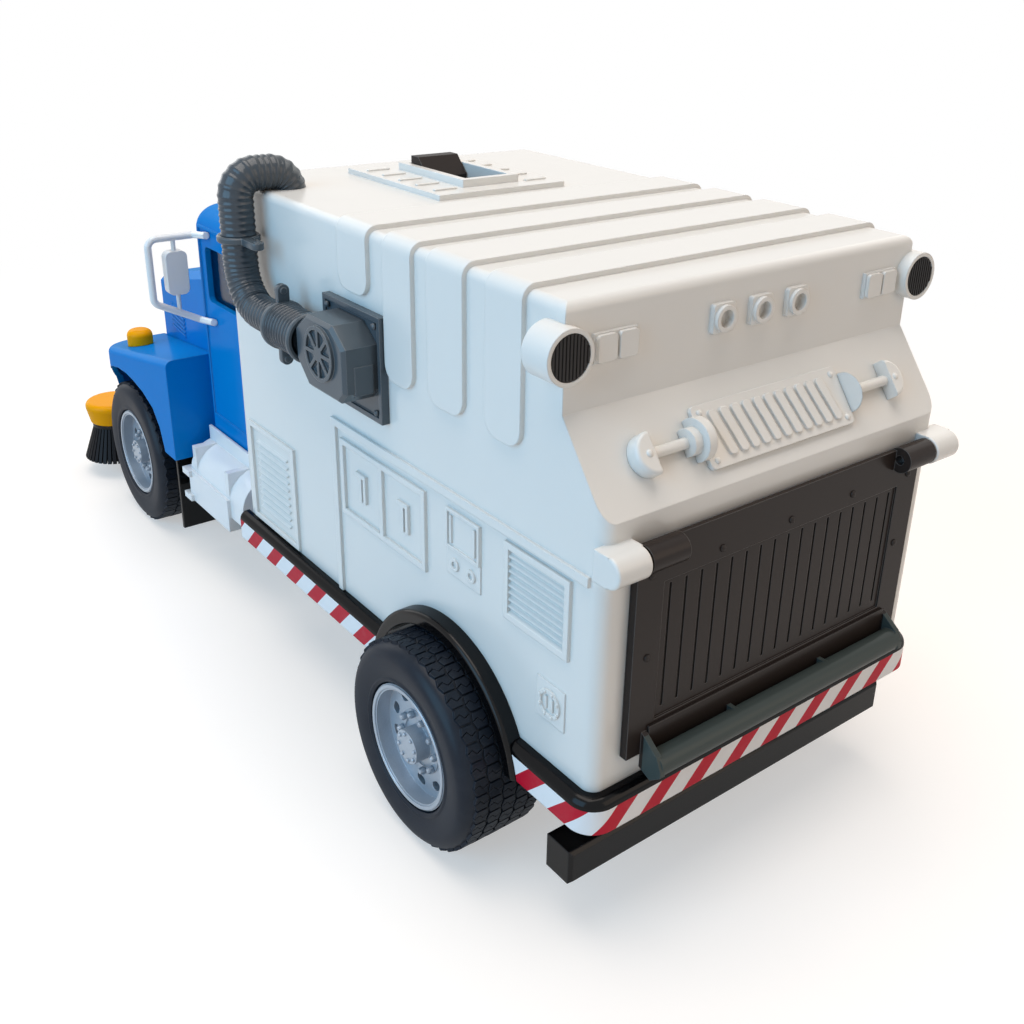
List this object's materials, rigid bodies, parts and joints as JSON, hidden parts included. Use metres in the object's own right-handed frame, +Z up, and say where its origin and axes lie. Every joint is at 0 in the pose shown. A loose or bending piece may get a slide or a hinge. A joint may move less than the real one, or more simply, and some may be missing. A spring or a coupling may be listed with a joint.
{
  "type": "toy street sweeper truck",
  "caption": "Large plastic toy street sweeper truck with a bonneted cab, hollow hopper with a lifting rear door, side blower with hose, corner brushes and free-rolling wheels.",
  "frame": {"origin": "on the ground under the middle of the truck's bounding box", "axes": "+X forward along the truck, +Y to its left side, +Z up"},
  "size_m": [0.471, 0.1888, 0.217],
  "materials": {
    "amber": "glossy moulded",
    "blower_grey": "satin",
    "bristle_black": "moulded bristles",
    "cab_blue": "glossy moulded",
    "chassis_black": "glossy moulded",
    "grille_silver": "silver pigmented",
    "hopper_white": "glossy moulded",
    "hub_black": "glossy moulded",
    "interior_grey": "satin",
    "lamp_clear": "clear over silver",
    "lens_smoke": "ribbed",
    "pane_clear": "clear",
    "rim_silver": "silver pigmented",
    "rod_steel": "bright drawn",
    "skirt_striped": "black rim over a red and white band",
    "trim_white": "glossy moulded",
    "tyre_black": "matt"
  },
  "bodies": {
    "truck": {"axle_front": "rod_steel", "axle_rear": "rod_steel", "blower_housing": "blower_grey", "blower_plate": "blower_grey", "brush_cover_left": "amber", "brush_cover_right": "amber", "cab_shell": "cab_blue", "chassis": "chassis_black", "dashboard": "interior_grey", "door_pin": "rod_steel", "fender_left": "cab_blue", "fender_right": "cab_blue", "flare_left": "chassis_black", "flare_right": "chassis_black", "front_bumper": "chassis_black", "grille": "grille_silver", "headlamp_left": "lamp_clear", "headlamp_right": "lamp_clear", "hood": "cab_blue", "hopper": "hopper_white", "hose": "blower_grey", "mirror_left": "trim_white", "mirror_right": "trim_white", "mud_flap_left": "chassis_black", "mud_flap_right": "chassis_black", "rear_bumper": "chassis_black", "rear_lens_left": "lens_smoke", "rear_lens_right": "lens_smoke", "seat_bench": "interior_grey", "skirt_left": "skirt_striped", "skirt_rear": "skirt_striped", "skirt_right": "skirt_striped", "slope_plate": "hopper_white", "spindle_left": "hopper_white", "spindle_right": "hopper_white", "steering_wheel": "interior_grey", "tank_left": "trim_white", "tank_right": "trim_white", "turn_lamp_left": "amber", "turn_lamp_right": "amber", "window_left": "pane_clear", "window_right": "pane_clear", "windscreen": "pane_clear"},
    "wheel_front_left": {"tyre_front_left": "tyre_black", "rim_front_left": "rim_silver"},
    "wheel_front_right": {"tyre_front_right": "tyre_black", "rim_front_right": "rim_silver"},
    "wheel_rear_left": {"tyre_rear_left": "tyre_black", "rim_rear_left": "rim_silver"},
    "wheel_rear_right": {"tyre_rear_right": "tyre_black", "rim_rear_right": "rim_silver"},
    "door": {"rear_door": "blower_grey"},
    "slider": {"roof_slider": "blower_grey"},
    "brush_left": {"bristles_left": "bristle_black", "brush_hub_left": "hub_black"},
    "brush_right": {"bristles_right": "bristle_black", "brush_hub_right": "hub_black"}
  },
  "joints": [
    {"name": "wheel_front_left_spin", "type": "hinge", "parent": "truck", "child": "wheel_front_left", "pos_m": [0.1462, 0, 0.038], "axis": [0, 1, 0], "continuous": true},
    {"name": "wheel_front_right_spin", "type": "hinge", "parent": "truck", "child": "wheel_front_right", "pos_m": [0.1462, 0, 0.038], "axis": [0, 1, 0], "continuous": true},
    {"name": "wheel_rear_left_spin", "type": "hinge", "parent": "truck", "child": "wheel_rear_left", "pos_m": [-0.1493, 0, 0.038], "axis": [0, 1, 0], "continuous": true},
    {"name": "wheel_rear_right_spin", "type": "hinge", "parent": "truck", "child": "wheel_rear_right", "pos_m": [-0.1493, 0, 0.038], "axis": [0, 1, 0], "continuous": true},
    {"name": "rear_door_hinge", "type": "hinge", "parent": "truck", "child": "door", "pos_m": [-0.2281, 0, 0.137], "axis": [0, 1, 0], "range_deg": [0, 80]},
    {"name": "roof_slider_slide", "type": "slide", "parent": "truck", "child": "slider", "axis": [-1, 0, 0], "range_m": [0, 0.026]},
    {"name": "brush_left_spin", "type": "hinge", "parent": "truck", "child": "brush_left", "pos_m": [0.2165, 0.066, 0.02], "axis": [0, 0, 1], "continuous": true},
    {"name": "brush_right_spin", "type": "hinge", "parent": "truck", "child": "brush_right", "pos_m": [0.2165, -0.066, 0.02], "axis": [0, 0, 1], "continuous": true}
  ]
}
